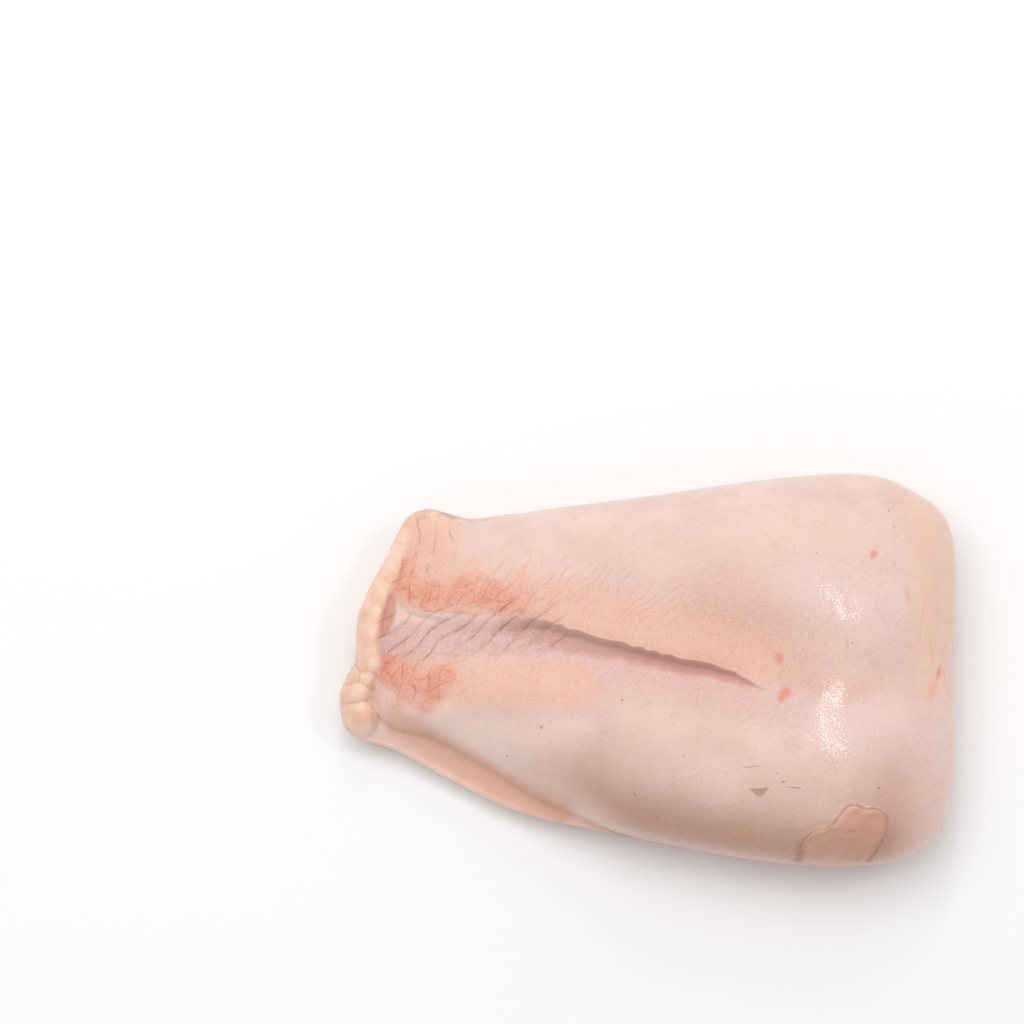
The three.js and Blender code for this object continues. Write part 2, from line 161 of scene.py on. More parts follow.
# The flap of skin low on the front, its inner fold, and a scab, as outlines and a line in plan.
FLAP_MIDDLE = (64.5, -57.5)
FLAP = [
    (78.1, -53.7), (76.6, -50.8), (73.2, -49.3), (70.1, -49.7), (67, -48.3), (63.7, -49.4),
    (61.1, -52.5), (58.9, -55.2), (54.3, -56.3), (51.1, -58.5), (49.5, -61.6), (51, -71), (68, -72.5),
    (73.5, -64.4), (75.6, -61.2), (77.3, -57.5),
]
FLAP_FOLD = [(49.6, -61), (53.7, -57.8), (59.1, -55.6), (63.4, -56.4), (66.9, -55.9), (68.2, -57.8)]
SCAB = [(31.5, -43.6), (38.6, -43.2), (35.4, -46.9)]

# Marks, as x, y, half length, half width and turn in degrees.
RED_SPOTS = [
    (42.1, -0.5, 2.3, 2.9, 0), (44.0, -12, 3.2, 2.7, 20), (42.6, -14.2, 2.0, 1.6, 50),
    (74.5, 35.2, 2.4, 1.9, 60), (96.9, -3.0, 1.2, 4.2, -12),
]
FAINT_SPOTS = [(64.9, 5.4, 1.3, 3.2, 0), (94.5, -9, 2.4, 5.5, -10), (86, 22, 1.6, 4, 10)]
DARK_SPECKS = [  # x, y and radius
    (80.5, 51.0, 0.6), (82.0, 45.3, 0.5), (66.6, 4.8, 0.5), (55.1, 34.7, 0.5), (74.9, -42.8, 0.7),
    (-36.5, -22.1, 0.8), (-9.9, -14.5, 0.6), (-5.6, -45.0, 0.6), (41.0, -38.7, 0.5), (10, -33, 0.4),
    (-48, -30, 0.4), (22, 24, 0.4),
]
NICKS = [(46.5, -43.3, 3.6, 0.35, -4), (32.5, -36.6, 4.5, 0.3, 6), (43, -41.4, 1.2, 0.5, 0)]
TENSION_LINES = [
    (91, 14, 13, 0.35, 83), (94.5, 3, 12, 0.4, 95), (97, 16, 10, 0.35, 88), (99, -2, 11, 0.4, 97),
    (88, -4, 9, 0.3, 86),
]

# Parallel folds: millimetres apart, direction in degrees, how far they wander, and over what length.
STRETCHED_FOLDS = (5.0, 39, 1.1, 18)
LOBE_FOLDS = (2.9, 45, 2.4, 16)
UPRIGHT_FOLDS = (6.4, 84, 1.4, 16)
TRACT_FOLDS = (4.6, 84, 1.3, 11)
TRACT_FAR_FOLDS = (4.4, 48, 1.6, 12)
TRACT_CROSS_FOLDS = (6.6, 6, 2.2, 12)

# Relief of the skin in millimetres, and how far out, as a share, it starts to fade.
CUSHION_RISE = 0.55
TRACT_RISE = 0.25
TRACT_CRINKLE = 0.1
WIDE_TRACT_CRINKLE = 0.08
STRETCHED_FOLD_RISE = 0.5
LOBE_FOLD_RISE = 0.08
UPRIGHT_FOLD_RISE = 0.35
FLAP_THICKNESS = 0.9
FLAP_FOLD_RISE = 0.8
FAT_UNEVENNESS = 0.3
SKIN_UNEVENNESS = 0.04
RELIEF_END = 0.97

# How finely the skin is divided.
COLUMNS = 350
ROWS = 240
WRAP_RINGS = 6
BASE_SPACING = 2.5
BENT_ROWS_HALF_WIDTH = 48

# Colours as seen on screen, 0 to 255.
COLOURS = {
    "pale skin": (234, 204, 193),
    "rosy skin": (226, 194, 183),
    "warm patch": (234, 194, 177),
    "peach": (217, 178, 162),
    # Partly the skin's own tone, partly painted sheen where the highlights fall.
    "lilac": (231, 203, 197),
    # Painted shade along the shallow furrow past the groove.
    "tan": (224, 180, 160),
    "cream": (238, 192, 168),
    "stretched": (224, 190, 183),
    # Painted sheen on the left of the lower lobe.
    "painted sheen patch": (243, 214, 202),
    "blush": (237, 189, 168),
    "tract": (235, 160, 132),
    "shade": (222, 177, 156),
    # Painted shade in the hollow behind the rolled edge.
    "pocket": (212, 156, 140),
    "light fat": (242, 209, 186),
    "fat": (237, 190, 162),
    "fat crease": (222, 148, 122),
    "hem": (236, 204, 186),
    # Painted shade in the groove, towards the narrow end and towards the broad end.
    "groove": (213, 177, 164),
    "groove end": (224, 178, 172),
    # Painted shade with a painted warm reflection low on the front.
    "front": (188, 140, 116),
    # Painted light: lighter, warmer colour on the broad end's side.
    "end": (238, 198, 176),
    "crease": (184, 114, 96),
    "tract line": (194, 108, 80),
    "flap": (206, 152, 128),
    "flap edge": (164, 112, 94),
    "dark stipple": (206, 150, 134),
    "light stipple": (250, 228, 218),
    "hatch": (206, 146, 128),
    "wandering crease": (186, 126, 110),
    "red spot": (228, 122, 98),
    "faint spot": (226, 140, 122),
    "speck": (140, 96, 84),
    "tension line": (206, 140, 122),
    "nick": (166, 110, 98),
    "scab": (178, 140, 124),
    "light meat": (224, 150, 138),
    "dark meat": (206, 122, 114),
}

# Relief in the material, in millimetres across and deep, and the coat of moisture on it.
PORE_SPACING = 1.15
PORE_DEPTH = 0.05
CRACK_SPACING = 2.1
COAT_WEIGHT = 0.6
COAT_ROUGHNESS = 0.11
MOISTURE_PORE_DEPTH = 0.02
MOISTURE_RIPPLE = 0.024

# Lights: name, place, aim, width and height in metres, watts, and whether highlights show it.
LIGHTS = [
    ("key", (-0.3, 0.4, 1.4), (0, 0, 0.03), (1.2, 1.0), 10.6, False),
    ("side", (0.73, 0.2, 1.16), (0.07, 0, 0.055), (0.36, 0.03), 1.5, True),
    ("back", (0, 1.0, 0.9), (0, 0.03, 0.055), (0.16, 0.1), 1.0, False),
]
SURROUNDING_LIGHT = 0.62
FLOOR_SIZE = 6  # metres
FLOOR_COLOUR = (0.9, 0.9, 0.9)
FLOOR_ROUGHNESS = 0.6

# Larger than any distance on the breast.
FAR = 1000.0


def smoothstep(low, high, value):
    """0 up to low, 1 from high on, and a smooth rise between; a fall where low is the greater."""
    t = np.clip((value - low) / (high - low), 0, 1)
    return t * t * (3 - 2 * t)


def lerp(a, b, t):
    return a + (b - a) * t


def bell(distance, width):
    return np.exp(-((distance / width) ** 2))


def smooth_max(a, b, softness):
    return (a + b + np.sqrt((a - b) ** 2 + softness**2)) / 2


def through(points, steps, closed=False):
    """Places along a smooth curve through the points."""
    p = np.array(points, float)
    if closed:
        p = np.vstack([p[-1], p, p[:2]])
    else:
        p = np.vstack([2 * p[0] - p[1], p, 2 * p[-1] - p[-2]])
    t = np.linspace(0, 1, steps, endpoint=False)[:, None]
    spans = [
        0.5 * (2 * b + (c - a) * t + (2 * a - 5 * b + 4 * c - d) * t**2 + (3 * b - a - 3 * c + d) * t**3)
        for a, b, c, d in zip(p, p[1:], p[2:], p[3:])
    ]
    return np.vstack(spans if closed else spans + [p[-2]])


def along(x, table, smoothing=1.5):
    """A value that changes along the breast, from (x, value) pairs, with its corners smoothed."""
    places, values = zip(*table)
    offsets = (-2, -1, 0, 1, 2)
    return sum(np.interp(x + o * smoothing, places, values) for o in offsets) / len(offsets)


def around(angle, table):
    """A value that changes with direction, from (degrees, value) pairs, with its corners smoothed."""
    degrees, values = zip(*table)
    offsets = (-8, -4, 0, 4, 8)
    turned = np.degrees(angle)
    return sum(np.interp(turned + o, degrees, values, period=360) for o in offsets) / len(offsets)


def waves(x, y, size, seed):
    """Smooth unevenness between about -1 and 1, whose swells are about this far apart."""
    draw = np.random.default_rng(seed)
    total = 0
    for _ in range(10):
        angle = draw.uniform(0, math.pi)
        length = size * draw.uniform(0.7, 1.6)
        phase = draw.uniform(0, 2 * math.pi)
        total = total + np.sin((x * math.cos(angle) + y * math.sin(angle)) * 2 * math.pi / length + phase)
    return total / 4.5


def scatter(column, row, seed):
    """A fixed number from 0 to 1 for each square of a grid."""
    return np.modf(np.abs(np.sin(column * 127.1 + row * 311.7 + seed * 74.7)) * 43758.5453)[0]


def cells(x, y, size, seed):
    """How far each place is from the nearest and the second nearest of points scattered one to a square."""
    x, y = x / size, y / size
    column, row = np.floor(x), np.floor(y)
    nearest = np.full(x.shape, 9.0)
    second = np.full(x.shape, 9.0)
    for i in (-1, 0, 1):
        for j in (-1, 0, 1):
            px = column + i + scatter(column + i, row + j, seed)
            py = row + j + scatter(column + i, row + j, seed + 1)
            distance = np.hypot(px - x, py - y)
            second = np.minimum(second, np.maximum(nearest, distance))
            nearest = np.minimum(nearest, distance)
    return nearest, second


def near_path(x, y, path, reach):
    """Distance to a path and share of the way along it, worked out only within reach of it."""
    distance = np.full(x.shape, FAR)
    share = np.zeros(x.shape)
    low, high = path[:, :2].min(axis=0) - reach, path[:, :2].max(axis=0) + reach
    inside = (x > low[0]) & (x < high[0]) & (y > low[1]) & (y < high[1])
    px, py = x[inside], y[inside]
    best = np.full(px.shape, FAR)
    best_share = np.zeros(px.shape)
    for i in range(len(path) - 1):
        (ax, ay), (bx, by) = path[i, :2], path[i + 1, :2]
        length = (bx - ax) ** 2 + (by - ay) ** 2
        t = np.clip(((px - ax) * (bx - ax) + (py - ay) * (by - ay)) / length, 0, 1)
        d = np.hypot(px - ax - t * (bx - ax), py - ay - t * (by - ay))
        closer = d < best
        best = np.where(closer, d, best)
        best_share = np.where(closer, (i + t) / (len(path) - 1), best_share)
    distance[inside] = best
    share[inside] = best_share
    return distance, share


def patch(x, y, points, width, softness, raggedness=1.2):
    """1 within width of a path, fading out over softness along an uneven edge."""
    distance, _ = near_path(x, y, through(points, 6), width + softness + 2 * raggedness)
    return 1 - smoothstep(width - softness, width + softness, distance + raggedness * waves(x, y, 9, 5))


outline_curve = through(OUTLINE, 40, closed=True)
outline_angle = np.arctan2(outline_curve[:, 1], outline_curve[:, 0])
outline_reach = np.hypot(outline_curve[:, 0], outline_curve[:, 1])


def reach(angle):
    return np.interp(angle, outline_angle, outline_reach, period=2 * math.pi)


def broad_reach(angle):
    """The outline's reach without its small corners, which would otherwise run up the lobes as ridges."""
    offsets = np.radians(np.arange(-24, 25, 4))
    weights = bell(offsets, math.radians(16))
    return sum(w * reach(angle + o) for w, o in zip(weights, offsets)) / weights.sum()


def share_of(radius, angle, inset):
    """How far out a place is, from 0 in the middle to 1 at the outline less an inset."""
    near = radius / (reach(angle) - inset)
    far_in = radius / (broad_reach(angle) - inset)
    return np.clip(lerp(far_in, near, smoothstep(*CORNERS, near)), 0, 1)


def lip_line(x):
    """The lip's place across the breast, slightly scalloped where the groove is deep."""
    uneven = x + 3.5 * np.sin(x / 5.3)
    scallops = LIP_SCALLOP * np.sin(2 * math.pi * uneven / LIP_SCALLOP_LENGTH)
    return along(x, LIP) + scallops * smoothstep(-50, -30, x) * smoothstep(36, 24, x)


def ceiling(x, y):
    """Height of the upper skin before it rounds down to its edge."""
    across = y - lip_line(x)
    wall = along(x, WALL_WIDTH)
    below_lip = 1 - smoothstep(-wall, 0, across)
    past_wall = np.maximum(-wall - across, 0)
    cleft = along(x, CLEFT_DEPTH) * below_lip * (1 - smoothstep(0, 1, past_wall / along(x, CLEFT_WIDTH)))
    valley = along(x, VALLEY_DEPTH, 4) * below_lip * bell(past_wall, VALLEY_WIDTH)
    lip_round = LIP_ROUNDING * along(x, CLEFT_DEPTH) * bell(np.maximum(across, 0), LIP_ROUNDING_WIDTH)
    furrow = along(x, FURROW_DEPTH, 10) * bell(y - along(x, FURROW_LINE, 8), FURROW_WIDTH)
    lengthwise = lerp(NARROW_END_HEIGHT, BROAD_END_HEIGHT, smoothstep(*CLIMB, x))
    lengthwise = lengthwise - BROAD_END_DROP * smoothstep(BROAD_END_DROP_START, OUTLINE_HALF_LENGTH, x)
    return lengthwise - furrow - cleft - valley - lip_round + SWELL * waves(x, y, 45, 3)


def end_roll(x, y):
    """Height of the rolled skin edge, far below the skin where there is none."""
    path = through(ROLL, 10)
    distance, share = near_path(x, y, path, 14)
    radius = np.interp(share * (len(path) - 1), np.arange(len(path)), path[:, 2])
    radius = radius * (1 + 0.04 * waves(x, y, 9, 8))
    level = np.interp(share, *zip(*ROLL_LEVEL))
    return level + radius - distance**2 / radius


def lump(x, y, cx, cy, half_x, half_y, turn, level, rise):
    """Height of one lump of fat, far below the skin away from it."""
    c, s = math.cos(math.radians(turn)), math.sin(math.radians(turn))
    u = ((x - cx) * c + (y - cy) * s) / half_x
    v = ((y - cy) * c - (x - cx) * s) / half_y
    return level + rise * (1 - (u**2 + v**2) ** LUMP_ROUNDNESS)


def top_height(x, y):
    """Height of the upper skin, edge rounding included."""
    angle = np.arctan2(y, x)
    radius = np.hypot(x, y)
    share = np.clip(radius / reach(angle), 0, 1)
    shelf = around(angle, SKIN_SHELF)
    rim = around(angle, RIM_HEIGHT)
    level = rim + around(angle, SHELF_RISE)
    meat_share = share_of(radius, angle, shelf)
    on_shelf = smoothstep(0, WIDE_SHELF, shelf)
    steepness = lerp(DOME_STEEPNESS, DOME_STEEPNESS_AT_SHELF, on_shelf)
    height = level + (ceiling(x, y) - level) * (1 - meat_share**DOME_POWER) ** steepness
    height = smooth_max(height, end_roll(x, y), ROLL_SOFTNESS)
    for size in LUMPS:
        height = smooth_max(height, lump(x, y, *size), LUMP_SOFTNESS)
    edge = lerp(1, np.sqrt(1 - share**SHELF_EDGE_POWER), on_shelf)
    return rim + (height - rim) * edge + HEM_BEAD * hem_edge(x, y)


def hem_edge(x, y):
    """The thin thickened edge of the skin, where it reaches out past the meat."""
    angle = np.arctan2(y, x)
    inwards = reach(angle) - np.hypot(x, y)
    return bell(inwards - 1.5, 0.9) * smoothstep(4, 8, around(angle, SKIN_SHELF)) * smoothstep(-8, -20, y)


def fold_phase(x, y, spacing, turn, wander, length):
    """A number that passes a whole number at each of a set of nearly parallel folds."""
    angle = math.radians(turn)
    across = x * math.sin(angle) - y * math.cos(angle)
    return (across + wander * waves(x, y, length, turn)) / spacing


def fold_ridge(phase):
    """0 in each fold, rising to 1 between them."""
    return np.sqrt(np.abs(np.sin(math.pi * phase)))


def crackle(x, y, size):
    """Small cushions between fine creases, from 0 to 1."""
    bend = 0.35 * size * waves(x, y, 3 * size, 14)
    nearest, second = cells(x + bend, y - bend, size, 4)
    return smoothstep(0, 0.5, second - nearest)


def depth_inside(x, y, middle, points):
    """Roughly how far inside a closed curve a place is, negative outside it."""
    curve_x, curve_y = (through(points, 8, closed=True) - middle).T
    away_x, away_y = x - middle[0], y - middle[1]
    directions, reaches = np.arctan2(curve_y, curve_x), np.hypot(curve_x, curve_y)
    edge = np.interp(np.arctan2(away_y, away_x), directions, reaches, period=2 * math.pi)
    return 0.85 * (edge - np.hypot(away_x, away_y))


def beyond_path(x, y, path):
    """How far a place is to the left of a path that is nearly straight."""
    (ax, ay), (bx, by) = path[0], path[-1]
    length = math.hypot(bx - ax, by - ay)
    bend = 1.2 * waves(x, y, 9, 23)
    return ((bx - ax) * (y - ay) - (by - ay) * (x - ax)) / length + bend


def roll_cover(x, y):
    """Where the rolled edge shows its fat."""
    path = through(ROLL, 10)
    distance, share = near_path(x, y, path, 7)
    radius = np.interp(share * (len(path) - 1), np.arange(len(path)), path[:, 2])
    right = smoothstep(-2, 3, x - np.interp(y, path[::-1, 1], path[::-1, 0]))
    outside = smoothstep(0.8 - 0.35 * right, 1.15 - 0.3 * right, distance / radius)
    return (1 - outside) * smoothstep(-0.02, 0.12, share)


def fat_creases(x, y):
    """Between one lump of fat and the next."""
    heights = np.sort([end_roll(x, y)] + [lump(x, y, *size) for size in LUMPS], axis=0)
    return bell(heights[-1] - heights[-2], 1.0)


def groove_shade(x, y):
    """Painted shade in the groove, from the lip down to where the groove opens out."""
    below = lip_line(x) - y
    width = along(x, GROOVE_SHADE) + 0.4 * waves(x, y, 6, 31)
    length = smoothstep(-54, -42, x + 0.6 * below) * (1 - smoothstep(31, 37, x))
    return smoothstep(-0.3, 0.4, below) * (1 - smoothstep(width - 1.6, width + 0.8, below)) * length


def front_shade(x, y, z):
    """Painted shade with a painted warm reflection, tan, low on the front, weaker again near the edge that
    turns under.
    """
    lengthwise = smoothstep(-55, 0, x) * smoothstep(98, 74, x)
    low = smoothstep(56, 37, z) * lerp(0.45, 1, smoothstep(20, 36, z))
    return low * smoothstep(-18, -44, y) * lengthwise


def wet_places(x, y):
    """Where moisture lies thicker: on the bank of the groove and on one spot of the upper lobe."""
    groove_bank = patch(x, y, WET_BANK, 1.0, 1.0)
    return np.maximum(groove_bank, bell(np.hypot(x - WET_SPOT[0], y - WET_SPOT[1]), WET_SPOT_RADIUS))


def lump_cover(x, y, cx, cy, half_x, half_y, *_):
    """Where one lump shows its fat."""
    return 1 - smoothstep(0.85, 1.1, np.hypot((x - cx) / half_x, (y - cy) / half_y))


def inside_triangle(x, y, corners):
    """Distance inside a triangle whose corners run clockwise, negative outside it."""
    depth = np.full(x.shape, FAR)
    for (ax, ay), (bx, by) in zip(corners, corners[1:] + corners[:1]):
        length = math.hypot(bx - ax, by - ay)
        depth = np.minimum(depth, ((by - ay) * (x - ax) - (bx - ax) * (y - ay)) / length)
    return np.clip(depth, -2, 2)


def skin_zones(x, y):
    """The kinds of skin that are raised or creased, each from 0 to 1, and the depth inside the flap."""
    fat = np.clip(np.maximum(roll_cover(x, y), sum(lump_cover(x, y, *size) for size in LUMPS)), 0, 1)
    above_lip = smoothstep(-0.4, 0.6, y - lip_line(x))
    upper_tract = patch(x, y, UPPER_TRACT, 5.5, 4.5, 2.6) * (1 - fat) * above_lip * smoothstep(-30, -52, x)
    lower_tract = patch(x, y, LOWER_TRACT, 6, 4.5, 2.4) * (1 - fat)
    return {
        "fat": fat,
        "tract": np.maximum(upper_tract, lower_tract),
        "wide_tract": patch(x, y, UPPER_BLUSH, 9, 6) * smoothstep(0, -55, x) * (1 - fat),
        "folds": patch(x, y, STRETCHED_ZONE, 8, 3) * (1 - fat),
        "lobe_folds": patch(x, y, LOBE_FOLD_ZONE, 10, 7) * (1 - fat),
        "upright": patch(x, y, UPRIGHT_ZONE, 9, 5) * (1 - fat),
        "flap": np.clip(depth_inside(x, y, FLAP_MIDDLE, FLAP), -3, 3),
    }


def fold_phases(x, y):
    """The phase of each set of folds; those of the tract turn where it leaves the end."""
    bend = smoothstep(-74, -58, x) * smoothstep(5, 12, y)
    near, far = fold_phase(x, y, *TRACT_FOLDS), fold_phase(x, y, *TRACT_FAR_FOLDS)
    return {
        "fold_phase": fold_phase(x, y, *STRETCHED_FOLDS),
        "lobe_fold_phase": fold_phase(x, y, *LOBE_FOLDS),
        "upright_phase": fold_phase(x, y, *UPRIGHT_FOLDS),
        "tract_phase": lerp(near, far, bend),
        "tract_cross_phase": fold_phase(x, y, *TRACT_CROSS_FOLDS),
    }


def flap_relief(x, y, depth):
    """Height of the flap of skin, folded once over itself along a line that fades out to the right."""
    thickness = FLAP_THICKNESS + 0.4 * waves(x, y, 6, 19)
    softness = lerp(0.5, 5, smoothstep(64, 73, x))
    over_fold = smoothstep(-softness, softness, beyond_path(x, y, FLAP_FOLD))
    flat = smoothstep(-0.4, 0.7, depth) * thickness - 0.4 * smoothstep(0.5, 3, depth)
    return flat + FLAP_FOLD_RISE * smoothstep(0, 1, depth) * over_fold


def relief_height(x, y, zones, phases):
    """Height of the skin's relief in millimetres."""
    crinkle = crackle(x, y, 2.2)
    cushions = fold_ridge(phases["tract_phase"]) * fold_ridge(phases["tract_cross_phase"])
    return (
        zones["tract"] * (CUSHION_RISE * cushions + TRACT_CRINKLE * crinkle + TRACT_RISE)
        + WIDE_TRACT_CRINKLE * zones["wide_tract"] * crinkle
        + STRETCHED_FOLD_RISE * zones["folds"] * (fold_ridge(phases["fold_phase"]) - 0.5)
        + LOBE_FOLD_RISE * zones["lobe_folds"] * fold_ridge(phases["lobe_fold_phase"])
        + UPRIGHT_FOLD_RISE * zones["upright"] * fold_ridge(phases["upright_phase"])
        + FAT_UNEVENNESS * zones["fat"] * waves(x, y, 7, 9)
        + flap_relief(x, y, zones["flap"])
        + SKIN_UNEVENNESS * waves(x, y, 9, 17)
    )


def colour_zones(x, y, z, fat):
    """The kinds of skin that only differ in colour, the places where shade, sheen and light are painted
    into the colour, and how far off the scab and the fold are.
    """
    stretched = patch(x, y, STRETCHED, 6.5, 2.5) * (1 - fat)
    return {
        "blush": np.maximum(patch(x, y, UPPER_BLUSH, 8, 6) * 0.9, patch(x, y, LOWER_BLUSH, 7.5, 5)),
        "stretched": np.maximum(stretched, patch(x, y, PALE_LOWER, 6, 6) * 0.6),
        # Painted shade in the hollow behind the rolled edge.
        "pocket": patch(x, y, POCKET_SHADE, 1.9, 0.8) * (1 - fat),
        # Painted sheen on the left of the lower lobe.
        "pale": patch(x, y, SHEEN_PATCH, 5.5, 4.5),
        # Partly the skin's own tone, partly painted sheen where the highlights fall.
        "lilac": np.maximum(patch(x, y, LILAC_SHEEN_UPPER, 9, 7), patch(x, y, LILAC_SHEEN_LOWER, 8, 7)),
        # Painted shade along the shallow furrow past the groove.
        "tan": patch(x, y, FURROW_SHADE_BAND, 3, 4),
        "shade": patch(x, y, SHELF_SHADE, 4.2, 2.6, 0.8) * (1 - fat),
        "cream": patch(x, y, CREAM_ZONE, 7, 6) * (1 - fat),
        # Painted shade with a painted warm reflection low on the front.
        "front": front_shade(x, y, z),
        # Painted light on the broad end's side.
        "end": smoothstep(80, 93, x) * smoothstep(-22, -4, y),
        "peach": bell(x - 28, 30) * bell(y - 8, 22),
        "fat_crease": fat * fat_creases(x, y),
        "hem": hem_edge(x, y),
        "wet": wet_places(x, y),
        "scab": inside_triangle(x, y, SCAB),
        # Painted shade in the groove.
        "groove": groove_shade(x, y),
        "groove_end": smoothstep(-30, 15, x),
        "flap_fold": near_path(x, y, through(FLAP_FOLD, 6), 3)[0],
    }


def skin_masks(x, y, z):
    """The height of the skin's relief in millimetres, and the masks that its material reads."""
    zones = skin_zones(x, y)
    phases = fold_phases(x, y)
    relief = relief_height(x, y, zones, phases)
    masks = {**zones, **phases, **colour_zones(x, y, z, zones["fat"])}
    masks["cracks"] = np.maximum(masks["tract"], 0.35 * masks.pop("wide_tract"))
    return relief, masks


def spread(count, weight):
    """Positions from -1 to 1, closer together where weight is higher."""
    fine = np.linspace(-1, 1, 4001)
    total = np.cumsum(weight(fine))
    return np.interp(np.linspace(total[0], total[-1], count), total, fine)


def even_share():
    """How far out a step is, so that steps are even along the skin from the middle down to the rim."""
    share = np.sin(np.linspace(0, math.pi / 2, 400))
    out = share * DOME_SPAN
    down = DOME_RISE * np.sqrt(np.maximum(1 - share**DOME_POWER, 0))
    length = np.concatenate([[0], np.cumsum(np.hypot(np.diff(out), np.diff(down)))])
    return length / length[-1], share


def plan_grid():
    """x and y of the top's grid, whose middle row follows the lip of the groove."""
    s = spread(COLUMNS + 1, lambda p: 1 + 1.1 * smoothstep(0.1, -0.35, p))
    t = spread(ROWS + 1, lambda p: 1 + 2.5 * bell(p, 0.04) + 0.5 * bell(p, 0.5))
    t[np.argmin(np.abs(t))] = 0
    s, t = np.meshgrid(s, t)
    u = s * np.sqrt(1 - t**2 / 2)
    v = t * np.sqrt(1 - s**2 / 2)
    step, share = even_share()
    disc = np.hypot(u, v)
    out = np.interp(disc, step, share)
    angle = np.arctan2(v * OUTLINE_HALF_WIDTH, u * OUTLINE_HALF_LENGTH)
    x = reach(angle) * out * np.cos(angle)
    y = reach(angle) * out * np.sin(angle)
    fall = np.clip(1 - (y / BENT_ROWS_HALF_WIDTH) ** 2, 0, 1) ** 2 * (1 - out**8)
    return x, y + lip_line(x) * fall


def surface_normals(x, y):
    """Unit normals of the upper skin."""
    step = 0.4
    slope_x = (top_height(x + step, y) - top_height(x - step, y)) / (2 * step)
    slope_y = (top_height(x, y + step) - top_height(x, y - step)) / (2 * step)
    normal = np.stack([-slope_x, -slope_y, np.ones(x.shape)], axis=-1)
    return normal / np.linalg.norm(normal, axis=-1, keepdims=True)


def build_top():
    """Places and masks of the upper skin, its relief and the lip's overhang included."""
    x, y = plan_grid()
    z = top_height(x, y)
    relief, masks = skin_masks(x, y, z)
    normal = surface_normals(x, y)
    depth = along(x, CLEFT_DEPTH) / CLEFT_DEEPEST * smoothstep(-60, -30, x)
    over = depth * bell(y - lip_line(x) - OVERHANG_MIDDLE, OVERHANG_WIDTH)
    y = y - OVERHANG * over
    share = np.hypot(x, y) / reach(np.arctan2(y, x))
    relief = relief * (1 - smoothstep(RELIEF_END, 1, share))
    shift = normal * relief[..., None]
    return x + shift[..., 0], y + shift[..., 1], z + shift[..., 2], masks


def boundary_of(grid):
    """The grid's outer edge, anticlockwise from its first corner, without repeating a corner."""
    return np.concatenate([grid[0, :-1], grid[:-1, -1], grid[-1, :0:-1], grid[:0:-1, 0]])


def tucked_rings(rim):
    """Rings of the skin's edge as it turns under, from just below the rim to the flat base."""
    angle = np.arctan2(rim[:, 1], rim[:, 0])
    out = np.hypot(rim[:, 0], rim[:, 1])
    tuck = around(angle, TUCK_UNDER)
    rings = []
    for number in range(1, WRAP_RINGS + 1):
        turn = number / WRAP_RINGS * math.pi / 2
        radius = out - tuck * (1 - math.cos(turn))
        level = rim[:, 2] * (1 - math.sin(turn))
        rings.append(np.stack([radius * np.cos(angle), radius * np.sin(angle), level], axis=-1))
    return rings


def masks_of_all(masks, edge, base_count):
    """The masks at every vertex: each ring repeats those of the edge, and the base has none."""
    top_count = next(iter(masks.values())).size
    source = np.concatenate([np.arange(top_count), np.tile(edge, WRAP_RINGS)])
    none = np.zeros(base_count)
    layers = {name: np.concatenate([values.ravel()[source], none]) for name, values in masks.items()}
    ring_share = np.repeat(np.arange(1, WRAP_RINGS + 1) / WRAP_RINGS, len(edge))
    layers["under"] = np.concatenate([np.zeros(top_count), ring_share, np.ones(base_count)])
    return layers


def build_breast():
    """Vertices, faces and masks of the upper skin, its edge tucked under, and the flat base."""
    x, y, z, masks = build_top()
    index = np.arange(x.size).reshape(x.shape)
    corners = [index[:-1, :-1], index[:-1, 1:], index[1:, 1:], index[1:, :-1]]
    faces = np.stack(corners, axis=-1).reshape(-1, 4).tolist()
    top = np.stack([x, y, z], axis=-1).reshape(-1, 3)
    edge = boundary_of(index)
    rings = tucked_rings(top[edge])
    previous = edge
    for number in range(WRAP_RINGS):
        current = x.size + number * len(edge) + np.arange(len(edge))
        quads = np.stack([previous, np.roll(previous, -1), np.roll(current, -1), current], axis=-1)
        faces += quads[:, ::-1].tolist()
        previous = current
    loop = rings[-1][:, :2]
    base, triangles = fill_base(loop)
    inner = base[len(loop):]
    lookup = np.concatenate([previous, previous[-1] + 1 + np.arange(len(inner))])
    faces += [[int(lookup[c]), int(lookup[b]), int(lookup[a])] for a, b, c in triangles]
    vertices = np.vstack([top, *rings, np.column_stack([inner, np.zeros(len(inner))])])
    return vertices, faces, masks_of_all(masks, edge, len(inner))


def fill_base(loop):
    """Triangles across the flat underside, with points inside its loop at an even spacing."""
    low, high = loop.min(axis=0), loop.max(axis=0)
    gx, gy = np.meshgrid(np.arange(low[0], high[0], BASE_SPACING), np.arange(low[1], high[1], BASE_SPACING))
    gx = gx + BASE_SPACING / 2 * (np.arange(gx.shape[0]) % 2)[:, None]
    angle = np.arctan2(gy, gx)
    loop_angle = np.arctan2(loop[:, 1], loop[:, 0])
    edge = np.interp(angle, loop_angle, np.hypot(loop[:, 0], loop[:, 1]), period=2 * math.pi)
    keep = np.hypot(gx, gy) < edge - BASE_SPACING
    points = [Vector(p) for p in np.vstack([loop, np.column_stack([gx[keep], gy[keep]])]).tolist()]
    ring = list(range(len(loop)))
    vertices, _, triangles, *_ = delaunay_2d_cdt(points, [], [ring], 1, 1e-6, False)
    vertices = np.array([v[:] for v in vertices])
    triangles = np.array(triangles)
    return vertices, triangles[within(loop, vertices[triangles].mean(axis=1))].tolist()


